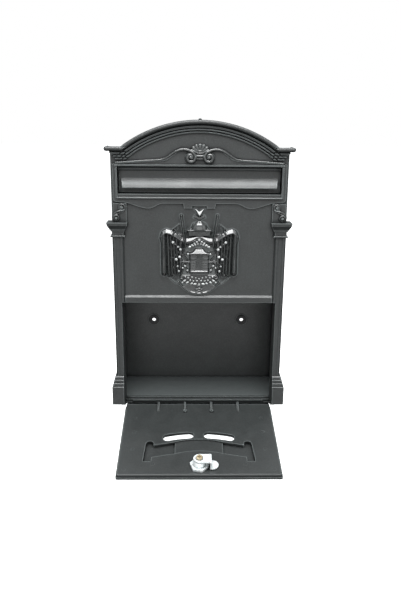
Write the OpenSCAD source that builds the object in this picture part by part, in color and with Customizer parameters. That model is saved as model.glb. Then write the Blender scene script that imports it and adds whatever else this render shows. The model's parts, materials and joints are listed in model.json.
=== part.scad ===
// Wall-mounted cast letterbox with an arched cornice, a top-hung letter flap,
// a drop-down front door on two hinge pins and a cam lock.
// Millimetres. +Z is up, the back (Y = 0) lies on the wall, the front faces -Y.
// The origin is the middle of the four wall fixings, on the wall face.
// Inside on_wall() a point is (x, depth behind the front field, height above the base).
// Inside on_door() the door stands closed; the module then swings it open.

/* [Housing] */
// Width of the housing across its sides
body_w = 242; // [238:1:246]
// Height of the housing at the crown of the roof
body_h = 410; // [404:1:416]
// Depth from the front field to the wall
body_d = 92; // [84:1:110]
// Wall thickness of both castings
wall_t = 2.5; // [2:0.1:3]
// Depth of the front casting's skirt
skirt_d = 14; // [13:0.5:18]
// Thickness of the front field
field_t = 3; // [2.5:0.1:3.2]

/* [Cornice] */
// Overall width across the cornice tips
cornice_w = 257; // [254:1:262]
// Half the chord of the roof arch
spring_x = 106.4; // [103:0.2:108]
// Height at which the roof arch springs
spring_z = 375; // [373:0.5:378]
// Height of the cornice band from its top to its inner edge
band_h = 17.4; // [17.2:0.1:18.4]
// How far the cornice stands forward of the field
cornice_out = 9; // [8:0.5:11]

/* [Letter slot] */
// Width of the slot
slot_w = 224; // [216:1:225]
// Height of the slot's lower edge
slot_z0 = 312.5; // [311:0.5:314]
// Height of the slot's upper edge
slot_z1 = 349.5; // [349:0.5:351]
// Radius of the flap's rod
rod_r = 1.5; // [1.2:0.1:1.8]

/* [Door opening] */
// Width of the opening at the front
open_w = 220.6; // [219.6:0.2:221.6]
// Height of the opening's upper edge
open_z = 157.6; // [156:0.2:160]
// How far the bevel around the opening runs inwards
bevel = 1.5; // [1.3:0.1:1.8]

/* [Door] */
// Width of the door
door_w = 214.6; // [210:0.2:215]
// Length of the door above its hinge axis
door_len = 155.5; // [150:0.1:155.8]
// Thickness of the door
door_t = 4.5; // [4:0.1:4.6]
// Angle at which the open door meets its stop
door_open = 101.6; // [96:0.1:101.6]
// Radius of the hinge pins
pin_r = 1.5; // [1.3:0.1:1.6]

/* [Lock] */
// Height of the lock's axis above the hinge axis
lock_s = 140; // [138:0.5:141]
// Width across the flats of the lock nut
nut_af = 22; // [20:0.5:24]
// Reach of the cam from the lock's axis
cam_reach = 25.3; // [24:0.1:27]

/* [Wall fixings] */
// Distance between the fixings across the wall
fix_x = 140; // [120:1:150]
// Distance between the fixings up the wall
fix_z = 206; // [180:1:215]
// Radius of the fixing holes
fix_r = 3; // [2.5:0.1:3.5]

/* [Hidden] */
$fn = 48;
eps = 0.01;

paint = "#4d5452";
zinc = "#d3dad9";
brass = "#b9a57c";
steel = "#9aa0a0";
rubber = "#151617";

// housing
half_w = body_w / 2;
fixing_low_z = 102;                       // height of the lower wall fixings
origin_z = fixing_low_z + fix_z / 2;
rise = body_h - spring_z;
arch_r = (spring_x * spring_x + rise * rise) / (2 * rise);
arch_z = body_h - arch_r;                 // height of the arch's centre
side_top_z = spring_z - 4;                // top of the straight sides, inside the cornice
bead_r = 2.9;                             // the cornice's top bead
tip_r = 3.1;                              // radius of the round bar along the cornice tips
tip_x = cornice_w / 2 - tip_r;
floor_z = wall_t + 2;                     // top of the raised floor
lip_x = 98.2;                             // half the length of the floor's front lip
lip_y = 3.9;                              // depth of the lip's front edge

// pilasters
shaft_in = 105.3;
shaft_out = half_w + 0.3;
shaft_y = -3.2;
cap_z = 273.5;

// slot surround
stile_x = 118.5;
hill_r = 20.8;                            // crest of the pediment's S-curve

// fasteners
boss_x = 114.3;
boss_r = 4.3;
boss_zs = [176, 236, 300];
tongue_y = 7;
stud_x = 30;
stud_z = 235;
stud_r = 1.5;
grommet_neck_r = 5;

// door and its hinge
pin_y = 2.2;                              // depth and height of the hinge axis
pin_z = -1.5;
run_gap = 0.05;                           // radial clearance of a running fit
door_face = 0.4;                          // depth of the closed door's outer face
door_back = door_face + door_t;
barrel_r = 2.4;
barrel_x = 99;                            // inner end of the hinge barrels
rebate_h = 8;                             // the rebate's height, from the hinge axis
rebate_y = 1;                             // depth of the rebate's face
rail_out = 1.6;                           // how far the foot rail stands out of the door
heel = 2.9;                               // how far the door reaches below its axis
rib_x = [-59, -19.6, 19.6, 59];
rib_w = 3;
rib_h = 3;                                // how far the ribs stand out of the inner face
knob_x = 19.6;                            // hollow knobs at the ends of the middle ribs
knob_s = 26;
flange_x = open_w / 2 - bevel;            // inner face of the opening's side flanges
bevel_y = 3.5;                            // depth of the bevel's inner edge
relief = 2;                               // how far the banner stands out
fold_out = 3.2;                           // how far its folds and rolls stand out of it
fold_x = 33;                              // where the folds start
fold_drop = 7.5;                          // how far a fold falls along its length
rim_gap = 0.45;                           // clearance of the outer rim in the opening's bevel
rim_half = flange_x + bevel * (bevel_y - door_face - 0.2) / (bevel_y - shaft_y) - rim_gap;
rim_top = door_len + 1.4;
rim_foot = 9;                             // lower end of the rim, from the hinge axis
rim_w = 6.5;
rim_out = 2.8;                            // how far the rim stands out of the outer face
banner_r = 100;
banner_h = 23;
banner_z = 87;                            // the banner's lowest point, from the hinge axis
roll_r = 5.4;
roll_x = 67.4;                            // the rolls' distance from the middle
slot_r = 170;                             // arc of the viewing slots
view_half = 6.6;                          // half their width

// flap
hang_y = 7;                                // depth and height of the flap's rod
hang_z = slot_z1 - 3.7;
knuckle_r = 3.1;
flap_t = 2;
flap_w = slot_w - 2.6;
ledge_top = 333;                          // height where the finger ledge leaves the flap
ledge_z = 320;                            // height of the ledge's lower edge
ledge_out = 8;                            // how far the ledge stands out of the flap
ledge_w = 107.5;                          // half the ledge's length

// lock, with levels above the door's inner face
barrel_lock_r = 8;
barrel_len = 10.7;
rings = 9;                                // thread rings on the barrel
ring_pitch = (door_t + barrel_len) / rings;
flange_lock_r = 11.5;
plug_r = 6;
spigot = 7;
cam_t = 1.8;
cam_w = 15.7;
cam_level = 12.2;                         // underside of the cam's arm
foot_level = 1.2;                         // underside of the cam's foot
web_x = 16;                               // outer face of the cam's web, from the axis
cam_back = door_back + cam_level + cam_t; // depth of the cam's outer face

module on_wall() translate([0, -body_d, -origin_z]) children();

module on_door()
    on_wall() translate([0, pin_y, pin_z]) rotate([door_open, 0, 0])
        translate([0, -pin_y, 0]) children();

module both_sides() {
    children();
    mirror([1, 0, 0]) children();
}

// A front-view outline, made solid between two depths.
module slab(y0, y1) translate([0, y1, 0]) rotate([90, 0, 0]) linear_extrude(y1 - y0) children();

// A cylinder along the depth, between two depths.
module bar_y(r, y0, y1) translate([0, y0, 0]) rotate([-90, 0, 0]) cylinder(r = r, h = y1 - y0);

// A cylinder across the width, between two x values.
module bar_x(r, x0, x1) translate([x0, 0, 0]) rotate([0, 90, 0]) cylinder(r = r, h = x1 - x0);

module block(x0, x1, y0, y1, z0, z1) translate([x0, y0, z0]) cube([x1 - x0, y1 - y0, z1 - z0]);

// Points of an arc, from angle a0 to a1 in n steps.
function arc(cx, cy, r, a0, a1, n) =
    [for (i = [0:n]) let (a = a0 + (a1 - a0) * i / n) [cx + r * cos(a), cy + r * sin(a)]];

function reversed(list) = [for (i = [len(list) - 1:-1:0]) list[i]];

// ---------- housing outlines ----------

// The housing seen from the front, drawn in by inset all round.
module body_outline(inset = 0) {
    translate([-half_w + inset, inset]) square([body_w - 2 * inset, side_top_z - 2 * inset]);
    intersection() {
        translate([0, arch_z]) circle(r = arch_r - inset, $fn = 240);
        translate([-spring_x + inset, spring_z - 60]) square([2 * (spring_x - inset), 120]);
    }
}

// Profile of the cornice: distance in from its edge, and how far it stands out.
function cornice_profile() = concat(
    arc(bead_r, cornice_out - bead_r, bead_r, 180, -10, 10),
    [[6, 3], [7.4, 3], [7.6, 5], [10, 4.6], [10.2, 2], [11.5, 2], [11.7, 3.9], [13.5, 3.5],
     [13.7, 1], [15, 1], [15.2, 2.8], [17, 2.3], [band_h, 1.9], [band_h, -1]]);

// The cornice's front view: arch, straight ends with round tips, and stepped undersides.
module cornice_outline() {
    intersection() {
        translate([0, arch_z]) circle(r = arch_r, $fn = 240);
        translate([-spring_x, spring_z - 30]) square([2 * spring_x, 100]);
    }
    translate([-tip_x, spring_z - 2 * bead_r]) square([2 * tip_x, 2 * bead_r]);
    for (step = [0:3])
        let (reach = half_w + 0.6 - 2.6 * step, depth = 8.6 + 2.8 * step)
            translate([-reach, spring_z - depth]) square([2 * reach, depth - 1]);
}

module cornice() {
    intersection() {
        slab(-cornice_out, 0.5) cornice_outline();
        // arched run of the mouldings
        translate([0, 0, arch_z]) rotate([90, 0, 0]) rotate_extrude($fn = 240)
            polygon(concat([[arch_r + 40, -1], [arch_r + 40, cornice_out], [arch_r, cornice_out]],
                [for (p = cornice_profile()) [arch_r - p[0], p[1]]]));
        // straight run of the mouldings
        translate([-cornice_w, 0, 0]) rotate([90, 0, 90]) linear_extrude(2 * cornice_w)
            polygon(concat([[1, spring_z + 60], [-cornice_out, spring_z + 60], [-cornice_out, spring_z]],
                [for (p = cornice_profile()) [-p[1], spring_z - p[0]]]));
    }
    // round bar along each tip, and its return along the side
    both_sides() translate([0, bead_r - cornice_out, spring_z - bead_r]) {
        bar_x(tip_r, spring_x, tip_x);
        translate([tip_x, 0, 0]) sphere(r = tip_r);
        translate([tip_x, 0, 0]) bar_y(tip_r, 0, cornice_out + skirt_d - bead_r);
        block(half_w - 2, tip_x, 0, cornice_out + skirt_d - bead_r, -2.4, 2.4);
    }
}

// ---------- pilasters ----------

// Mouldings of the pilaster, bottom to top: [height, overhang].
function capital_steps() = [
    [252.6, 0], [252.6, 1.6], [253.4, 2.3], [254.6, 2.3], [255.4, 1.6], [255.4, 0.4],
    [261, 0.4], [261, 1.8], [263.2, 1.8], [263.2, 3], [264.4, 3.2], [269.4, 6.2],
    [270.2, 6.2], [cap_z, 6.9]];
function base_steps() = [
    [0, 6.4], [28, 6.4], [28.8, 5.6], [28.8, 4], [29.5, 5], [33.2, 5], [33.9, 4.2],
    [33.9, 2.6], [34.6, 3.6], [38.2, 3.6], [38.9, 2.8], [38.9, 1.2], [39.6, 2.2],
    [42.6, 2.2], [44, 0.6], [44, 0]];

// A mitred run of mouldings around one pilaster; inner says how much of it turns inwards.
module mitred(steps, inner) {
    outline = concat([for (s = steps) [shaft_out + s[1], s[0]]],
        [for (s = reversed(steps)) [shaft_in - s[1] * inner, s[0]]]);
    intersection() {
        slab(-20, 1) polygon(outline);
        translate([shaft_in - 20, 0, 0]) rotate([90, 0, 90]) linear_extrude(60)
            polygon(concat([[1, steps[0][0]]], [for (s = steps) [shaft_y - s[1], s[0]]],
                [[1, steps[len(steps) - 1][0]]]));
    }
    // return along the housing's side
    slab(0, skirt_d) intersection() {
        polygon(outline);
        translate([half_w - 1, 0]) square([20, body_h]);
    }
}

module pilaster() {
    mitred(capital_steps(), 0.85);
    mitred(base_steps(), 0);
    // shaft with chamfered edges and a sunk middle
    translate([0, 0, 20]) linear_extrude(cap_z - 22) polygon([
        [shaft_in, 1], [shaft_in, shaft_y + 2], [shaft_in + 2, shaft_y],
        [shaft_in + 4.6, shaft_y], [shaft_in + 5.2, shaft_y + 0.6],
        [shaft_out - 5.2, shaft_y + 0.6], [shaft_out - 4.6, shaft_y],
        [shaft_out - 2, shaft_y], [shaft_out, shaft_y + 2], [shaft_out, 1]]);
}

// Console scroll above the capital: two rolls on a plate.
module console() {
    slab(-2.4, 0.5) polygon([[shaft_in - 5, cap_z], [shaft_in - 5, 299.5],
        [half_w - 2, 299.5], [half_w - 0.5, cap_z]]);
    translate([106.8, 0, 294]) {
        bar_y(4.6, -3.4, 0);
        bar_y(1.8, -5.4, 0);
    }
    translate([114.6, 0, 279.4]) {
        bar_y(4.4, -3.4, 0);
        bar_y(1.7, -5.4, 0);
    }
    // band that runs from the upper roll over the lower one
    slab(-3.2, 0) polygon([[103.5, 289.8], [108, 289.4], [113.5, 287.4], [118, 283.8],
        [119.6, 279.4], [117, 279.4], [114.6, 283], [109, 286.2], [104, 287.6]]);
}

// ---------- surround of the letter slot ----------

// Right half of the apron's lower edge, from the middle to the side.
function apron_edge() = concat(
    [[0, 296], [10, 296], [10, 292.8], [21.5, 292.8], [22.5, 299.3], [50, 299.3]],
    [for (t = [0.1:0.1:1]) [50 + 20 * t, 299.3 - 3.45 * (1 - cos(180 * t))]],
    [for (t = [0.1:0.1:1]) [70 + 38 * t, 292.4 + 4.2 * (1 - cos(180 * t))]],
    arc(stile_x - 4.5, 305.7, 4.5, -90, 0, 5));

// Right half of the pediment's S-curve, lowered by inset, from the side to the volute.
function pediment_path(inset) = concat(
    [[113, 354.4 - inset], [80, 356.4 - inset], [52, 358 - inset]],
    arc(52, 373.5, 15.5 + inset, -98, -132, 4),
    arc(21, 351.1, hill_r - inset, 49, 138, 14));

module surround() {
    slab(-2.2, 0.5) both_sides() polygon(concat(apron_edge(), [[stile_x, 352]],
        pediment_path(0.4), [[0, 362]]));
    both_sides() slab(-3, 0) polygon(concat(pediment_path(0.2), reversed(pediment_path(2))));
}

// Volutes at the middle of the pediment, with a fan and a clasp between them.
module volutes() {
    both_sides() translate([12.7, 0, 361]) {
        bar_y(7.4, -3.2, 0);
        bar_y(1.8, -5.6, 0);
    }
    slab(-2.6, 0) intersection() {
        translate([0, 366]) circle(r = 12.8);
        translate([-14, 366]) square([28, 16]);
    }
    slab(-4.2, 0) translate([-3.2, 358.4]) square([6.4, 9]);
}

// Rails around the slot and the sloping sill with its nosing.
module slot_rails() {
    block(-slot_w / 2 - 3, slot_w / 2 + 3, -4, 0.5, slot_z1, slot_z1 + 2.4);
    both_sides() block(slot_w / 2, slot_w / 2 + 2.6, -3.4, 0.5, slot_z0 - 6, slot_z1 + 2);
    translate([-slot_w / 2, 0, 0]) rotate([90, 0, 90]) linear_extrude(slot_w)
        polygon([[field_t, slot_z0 - 0.3], [-2, slot_z0 - 3.4], [-2, slot_z0 - 4],
            [-3.6, slot_z0 - 4.4], [-4.6, slot_z0 - 5.4], [-4.2, slot_z0 - 6.6],
            [-2.2, slot_z0 - 7], [field_t, slot_z0 - 7]]);
}

// Bar above the door, with the sloping foot of the panel on top of it.
module door_bar() {
    translate([-shaft_in, 0, 0]) rotate([90, 0, 90]) linear_extrude(2 * shaft_in)
        polygon([[0.5, 168], [0, 168], [-2.4, 165.2], [-2.4, open_z - 3], [0.5, open_z - 3]]);
}

// ---------- nodes of the housing ----------

module front_frame() color(paint) on_wall() difference() {
    union() {
        slab(0, field_t) body_outline();
        slab(0, skirt_d) difference() {
            body_outline();
            body_outline(wall_t);
            translate([-half_w + wall_t, -1]) square([body_w - 2 * wall_t, 20]);
        }
        floor_strip();
        cornice();
        both_sides() {
            pilaster();
            console();
        }
        surround();
        volutes();
        slot_rails();
        door_bar();
        back_details();
    }
    block(-slot_w / 2, slot_w / 2, -8, field_t + eps, slot_z0 - 0.4, slot_z1);
    door_cut();
    // bores for the hinge pins, blind at their outer ends
    both_sides() translate([0, pin_y, pin_z]) bar_x(pin_r, flange_x - 2, flange_x + 5);
    // bores for the flap's rod
    translate([0, hang_y, hang_z]) bar_x(rod_r, -half_w + 3, half_w - 3);
    // screw holes
    both_sides() for (z = boss_zs) translate([boss_x, 0, z]) bar_y(1.4, 5, skirt_d + 1);
    translate([0, tongue_y, body_h - 6]) cylinder(r = 1.6, h = 10);
    // stud holes of the crest
    both_sides() translate([stud_x, 0, stud_z]) bar_y(stud_r + 0.1, -8, 8);
}

// Floor of the front casting: a lip that the door's rebate closes over, and a raised rear part.
module floor_strip() {
    block(-lip_x, lip_x, lip_y, skirt_d, 0, wall_t);
    block(-half_w, half_w, lip_y + 2.6, skirt_d, 0, wall_t);
    // behind the hinge barrels
    both_sides() block(lip_x, half_w - 1, pin_y + barrel_r + 0.4, skirt_d, pin_z - 3.1, wall_t);
    block(-half_w + 1, half_w - 1, 9.4, skirt_d, 0, floor_z);
}

// Everything cast on the back of the front field.
module back_details() {
    // side flanges of the door opening
    both_sides() block(flange_x, flange_x + 2.3, field_t - 0.5, skirt_d, 0, open_z + 6);
    // keeper behind the bar, for the lock's cam
    block(-15, 15, 2, door_back + 0.6, open_z + 0.2, open_z + 9);
    // ears that hold the hinge pins
    both_sides() block(flange_x - 0.5, flange_x + 7, -0.9, 6.2, pin_z - 3.1, 3.6);
    // lugs that hold the flap's rod
    both_sides() block(slot_w / 2 + 0.8, half_w - 1, 2, 11, hang_z - 5, hang_z + 5);
    // rain lip behind the flap's lower edge
    block(-half_w + 1, half_w - 1, hang_y + 1.4, hang_y + 3.4, slot_z0 - 4, slot_z0 + 3.5);
    block(-half_w + 1, half_w - 1, 2, hang_y + 3.4, slot_z0 - 5, slot_z0 - 2.5);
    // screw bosses
    both_sides() for (z = boss_zs) translate([boss_x, 0, z]) bar_y(boss_r, 2, skirt_d);
}

// Door opening: straight through the pilasters, a bevel that narrows inwards, then straight again.
module door_cut() {
    block(-open_w / 2, open_w / 2, -20, shaft_y, -8, open_z);
    hull() {
        slab(shaft_y - eps, shaft_y) translate([-open_w / 2, -8]) square([open_w, open_z + 8]);
        slab(bevel_y - eps, bevel_y) translate([-flange_x, -8])
            square([2 * flange_x, open_z - bevel + 8]);
    }
    block(-flange_x, flange_x, bevel_y - 2 * eps, lip_y - eps, -8, open_z - bevel);
}

module rear_shell() color(paint) on_wall() difference() {
    union() {
        difference() {
            slab(skirt_d, body_d) body_outline();
            slab(skirt_d - 1, body_d - wall_t) body_outline(wall_t);
        }
        // raised part of the floor
        block(-half_w + 1, half_w - 1, skirt_d, 64, 0, floor_z);
        // fixing bosses
        fixings() bar_y(9.4, body_d - wall_t - 1, body_d);
        // lugs for the screws, and the tongue under the front casting's roof
        both_sides() for (z = boss_zs) {
            translate([boss_x, 0, z]) bar_y(boss_r, skirt_d, skirt_d + 4);
            block(boss_x, half_w - 1, skirt_d, skirt_d + 4, z - boss_r, z + boss_r);
        }
        block(-8, 8, 3.5, skirt_d + 3, body_h - 8.5, body_h - wall_t - 0.4);
        block(-8, 8, skirt_d, skirt_d + 3, body_h - 8.5, body_h - 1);
    }
    fixings() bar_y(grommet_neck_r, body_d - 8, body_d + 1);
    both_sides() for (z = boss_zs) translate([boss_x, 0, z]) bar_y(1.7, skirt_d - 1, skirt_d + 5);
    translate([0, tongue_y, body_h - 10]) cylinder(r = 1.4, h = 8);
}

// The four wall fixings' places.
module fixings()
    for (x = [-fix_x / 2, fix_x / 2], z = [fixing_low_z, fixing_low_z + fix_z])
        translate([x, 0, z]) children();

// Flanged rubber grommets in the wall fixings.
module wall_grommets() color(rubber) on_wall() fixings() difference() {
    union() {
        bar_y(7.6, body_d - wall_t - 3, body_d - wall_t - 1);
        bar_y(grommet_neck_r, body_d - wall_t - 1.5, body_d);
    }
    bar_y(fix_r, body_d - 10, body_d + 1);
}

// Pan-head screws that clamp the rear shell to the front casting.
module shell_screws() color(steel) on_wall()
    both_sides() for (z = boss_zs) translate([boss_x, 0, z]) difference() {
        union() {
            bar_y(1.4, 6.5, skirt_d + 5);
            bar_y(3, skirt_d + 4, skirt_d + 6);
        }
        block(-2, 2, skirt_d + 5.2, skirt_d + 7, -0.4, 0.4);
        block(-0.4, 0.4, skirt_d + 5.2, skirt_d + 7, -2, 2);
    }

// Screw through the roof into the rear shell's tongue.
module crown_screw() color(steel) on_wall() translate([0, tongue_y, body_h - 8]) {
    cylinder(r = 1.4, h = 9);
    translate([0, 0, 8]) cylinder(r = 2.2, h = 1);
    translate([0, 0, 9]) intersection() {
        cylinder(r = 2.2, h = 1);
        translate([0, 0, -2.4]) sphere(r = 3.2);
    }
}

// ---------- crest ----------

// Right-hand fall of the draped mantle.
function mantle() = [[4, 262], [14, 255], [26, 254], [40, 262], [50, 263], [54.5, 256],
    [55, 200], [51, 190], [44, 192], [38, 203], [27, 205], [22, 182], [4, 182]];

module crest_badge() color(paint) on_wall() {
    both_sides() {
        slab(-3.6, 0) polygon(mantle());
        slab(-4.6, 0) polygon([[21, 282], [24, 282], [22, 240], [18.5, 240]]);
        translate([stud_x, 0, stud_z]) bar_y(stud_r, -1, field_t + 3);
    }
    slab(-6.2, 0) translate([-13, 200]) square([26, 30]);
    slab(-4, 0) polygon([[-7.4, 292.4], [-1.4, 281], [-1, 270], [1, 270], [1.4, 281], [7.4, 292.4],
        [0, 286.6]]);
    slab(-6.2, 0) intersection() {
        translate([0, 262]) circle(r = 10.5);
        translate([-12, 262]) square([24, 12]);
    }
    slab(-4.6, 0) translate([-15, 254]) square([30, 9]);
    slab(-3, 0) difference() {
        translate([0, 196]) circle(r = 27);
        translate([0, 204]) circle(r = 25);
        translate([-30, 188]) square([60, 40]);
    }
    slab(-2.4, 0) translate([-24, 180]) square([48, 10]);
}

// Push-on nuts that hold the crest's studs behind the field.
module crest_push_nuts() color(steel) on_wall()
    both_sides() translate([stud_x, 0, stud_z]) difference() {
        bar_y(4.6, field_t, field_t + 1.2);
        bar_y(stud_r, 0, 10);
    }

// ---------- flap ----------

module flap_rod() color(steel) on_wall() translate([0, hang_y, hang_z])
    bar_x(rod_r, -half_w + 3.2, half_w - 3.2);

// Retaining clips on the rod, between the flap and its lugs.
module rod_clips() color(steel) on_wall() both_sides() translate([0, hang_y, hang_z])
    difference() {
        bar_x(3, slot_w / 2 - 0.3, slot_w / 2 + 0.5);
        bar_x(rod_r, slot_w / 2 - 2, slot_w / 2 + 2);
    }

module letter_flap() color(paint) on_wall() difference() {
    union() {
        translate([0, hang_y, hang_z]) bar_x(knuckle_r, -flap_w / 2, flap_w / 2);
        block(-flap_w / 2, flap_w / 2, hang_y - flap_t / 2, hang_y + flap_t / 2, slot_z0 + 0.9, hang_z);
        finger_ledge();
    }
    translate([0, hang_y, hang_z]) bar_x(rod_r + run_gap, -flap_w, flap_w);
}

// Hollow sloping ledge that the fingers lift, with slanted ends.
module finger_ledge() intersection() {
    front = hang_y - flap_t / 2;
    nose = 1.2;
    translate([-slot_w / 2, 0, 0]) rotate([90, 0, 90]) linear_extrude(slot_w)
        polygon(concat([[front + 0.5, ledge_top]],
            [for (t = [0:0.2:1]) [front - ledge_out * t * (0.55 + 0.45 * t),
                ledge_top - (ledge_top - ledge_z - nose) * t]],
            [[front - ledge_out, ledge_z], [front - ledge_out + 1.6, ledge_z],
            [front, ledge_top - 4], [front + 0.5, ledge_top - 4]]));
    slab(-20, 20) polygon([[-ledge_w, ledge_top], [ledge_w, ledge_top],
        [ledge_w - 2.2, ledge_z], [-ledge_w + 2.2, ledge_z]]);
}

// ---------- door ----------

module left_hinge_pin() color(steel) on_wall() mirror([1, 0, 0]) hinge_pin();
module right_hinge_pin() color(steel) on_wall() hinge_pin();
module hinge_pin() translate([0, pin_y, pin_z]) bar_x(pin_r, barrel_x + 0.6, flange_x + 4.6);

module door_panel() color(paint) on_door() difference() {
    union() {
        slab(door_face, door_back) difference() {
            door_outline(door_w / 2, door_len);
            translate([-door_w, -10]) square([2 * door_w, rebate_h + 10]);
        }
        slab(door_face - rail_out, rebate_y) translate([-door_w / 2, 0])
            square([door_w, rebate_h + 2]);
        block(-lip_x + 0.2, lip_x - 0.2, door_face, pin_y + 0.75, -heel, 2);
        both_sides() translate([0, pin_y, 0]) bar_x(barrel_r, barrel_x, door_w / 2);
        outer_rim();
        slab(door_face - relief, door_face + 1) banner(2.2);
        both_sides() slab(door_face - relief - fold_out, door_face + 1) {
            banner_fold(2.2);
            banner_roll(roll_r + 2);
        }
        for (x = rib_x) hinge_rib(x);
        both_sides() translate([knob_x, 0, knob_s]) bar_y(2.6, door_back - 1, door_back + 2.6);
    }
    both_sides() translate([0, pin_y, 0]) bar_x(pin_r + run_gap, barrel_x - 1, door_w / 2 + 1);
    // hollow side of the banner
    slab(door_back - relief, door_back + 1) banner(0);
    both_sides() {
        slab(door_back - relief - fold_out, door_back + 1) {
            banner_fold(0);
            banner_roll(roll_r);
        }
        view_slot();
        ejector_marks();
    }
    both_sides() translate([knob_x, 0, knob_s]) bar_y(1.1, door_back, door_back + 3);
    translate([0, 0, lock_s]) bar_y(barrel_lock_r + 0.1, -5, 12);
    // room for the lock's flange in the rim
    translate([0, 0, lock_s]) bar_y(flange_lock_r + 0.3, -5, door_face);
    // chamfer along the free edge
    translate([0, door_back, door_len]) rotate([45, 0, 0])
        cube([2 * door_w, 1.6, 1.6], center = true);
}

// A front view with rounded upper corners, from its half width and its top.
module door_outline(half, top) {
    corner = 2.5;
    polygon(concat([[-half, 0], [half, 0]],
        arc(half - corner, top - corner, corner, 0, 90, 6),
        arc(-half + corner, top - corner, corner, 90, 180, 6)));
}

// Flat rim that stands proud of the outer face and reaches past the door's edges.
module outer_rim() slab(door_face - rim_out, door_face + 0.2) difference() {
    door_outline(rim_half, rim_top);
    translate([-door_w, -1]) square([2 * door_w, rim_foot + 1]);
    translate([rim_w - rim_half, rim_foot + rim_w])
        square([2 * (rim_half - rim_w), rim_top - rim_foot - 2 * rim_w]);
}

// Curved banner: a band of constant height between two equal arcs, from x0 to x1, with a straight
// fold and an upright roll on each side.
function sag(x) = banner_r - sqrt(banner_r * banner_r - x * x);
module banner_band(grow, x0, x1) polygon(concat(
    [for (i = [0:12]) let (x = x0 + (x1 - x0) * i / 12) [x, banner_z - grow + sag(x)]],
    [for (i = [12:-1:0]) let (x = x0 + (x1 - x0) * i / 12) [x, banner_z + banner_h + grow + sag(x)]]));
module banner(grow) banner_band(grow, -fold_x - 2, fold_x + 2);
module banner_fold(grow) polygon([
    [fold_x - grow, banner_z + sag(fold_x) - grow], [roll_x, banner_z + sag(fold_x) + fold_drop - grow],
    [roll_x, banner_z + sag(fold_x) + fold_drop + banner_h + grow],
    [fold_x - grow, banner_z + sag(fold_x) + banner_h + grow]]);
module banner_roll(r) translate([roll_x, 96.2]) rotate(-4)
    polygon(concat(arc(0, 0, r, 180, 360, 12), [[r, 34.5], [-r, 34.5]]));

// Arched viewing slot with round ends.
module view_slot() {
    start = asin(13.6 / slot_r);
    end = asin(43.5 / slot_r);
    slab(-8, 12) translate([0, 78 + slot_r]) polygon(concat(
        arc(0, 0, slot_r + view_half, -90 + start, -90 + end, 10),
        arc(slot_r * sin(end), -slot_r * cos(end), view_half, -90 + end, 90 + end, 10),
        arc(0, 0, slot_r - view_half, -90 + end, -90 + start, 10),
        arc(slot_r * sin(start), -slot_r * cos(start), view_half, 90 + start, 270 + start, 10)));
}

// Rib that ties the door's plate across the rebate.
module hinge_rib(x) translate([x - rib_w / 2, 0, 0]) rotate([90, 0, 90]) linear_extrude(rib_w)
    polygon([[rebate_y - 0.4, 2.6], [lip_y - 0.5, 2.6], [lip_y - 0.5, 4.6],
        [door_back + rib_h, 6.6], [door_back + rib_h, 11], [door_back - 0.1, knob_s],
        [rebate_y - 0.4, knob_s]]);

// Round marks left by the mould's ejector pins.
module ejector_marks()
    for (p = [[98.5, 146], [61.4, 136], [91.4, 41], [91, 71.5], [90.5, 107]])
        translate([p[0], 0, p[1]]) bar_y(2.4, door_back - 0.25, door_back + 1);

// ---------- lock ----------

module on_lock() on_door() translate([0, 0, lock_s]) children();

module lock_housing() color(zinc) on_lock() difference() {
    union() {
        bar_y(flange_lock_r, door_face - 2, door_face);
        rotate([-90, 0, 0]) rotate_extrude() polygon(concat(
            [[0, door_face - 1], [barrel_lock_r - 0.7, door_face - 1]],
            [for (i = [0:rings - 1], half = [0, 1])
                [barrel_lock_r - 0.7 * (1 - half), door_face + (i + half / 2) * ring_pitch]],
            [[barrel_lock_r - 0.7, door_back + barrel_len], [0, door_back + barrel_len]]));
    }
    bar_y(plug_r + run_gap, -10, 40);
}

module lock_nut() color(zinc) on_lock() rotate([0, -12, 0]) difference() {
    translate([0, door_back, 0]) rotate([-90, 0, 0])
        cylinder(r = nut_af / 2 / cos(30), h = 4, $fn = 6);
    bar_y(barrel_lock_r + 0.05, 0, 20);
}

module lock_plug() color(zinc) on_lock() difference() {
    union() {
        bar_y(plug_r, door_face - 1.8, door_back + barrel_len + 0.3);
        block(-spigot / 2, spigot / 2, door_back + barrel_len, cam_back, -spigot / 2, spigot / 2);
    }
    // keyway and the cam screw's thread
    block(-0.8, 0.8, door_face - 3, door_face + 8, -3.6, 3.6);
    bar_y(2, cam_back - 9, cam_back + 1);
}

module square_hole() block(-spigot / 2, spigot / 2, 0, 60, -spigot / 2, spigot / 2);

module stop_washer() color(zinc) on_lock() difference() {
    bar_y(barrel_lock_r - 0.4, door_back + barrel_len + 0.3, door_back + cam_level);
    square_hole();
}

// Cranked cam: arm, web and a round-ended foot. It points along +X when unlocked.
module lock_cam() color(zinc) on_lock() difference() {
    union() {
        slab(door_back + cam_level, cam_back) {
            circle(r = cam_w / 2);
            translate([0, -cam_w / 2]) square([web_x, cam_w]);
        }
        block(web_x - cam_t, web_x, door_back + foot_level, cam_back, -cam_w / 2, cam_w / 2);
        slab(door_back + foot_level, door_back + foot_level + cam_t) {
            translate([cam_reach - cam_w / 2, 0]) circle(r = cam_w / 2);
            translate([web_x - cam_t, -cam_w / 2])
                square([cam_reach - cam_w / 2 - web_x + cam_t, cam_w]);
        }
    }
    square_hole();
    // the round foot ends at the web
    block(-cam_reach, web_x - cam_t, 0, door_back + cam_level - eps, -cam_w, cam_w);
}

module cam_washer() color(steel) on_lock() translate([0, cam_back, 0]) difference() {
    union() {
        bar_y(4.4, 0, 0.6);
        for (a = [0:30:330]) rotate([0, a, 0]) block(3.6, 5.3, 0, 0.6, -0.6, 0.6);
    }
    bar_y(2.05, -1, 2);
}

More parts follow.
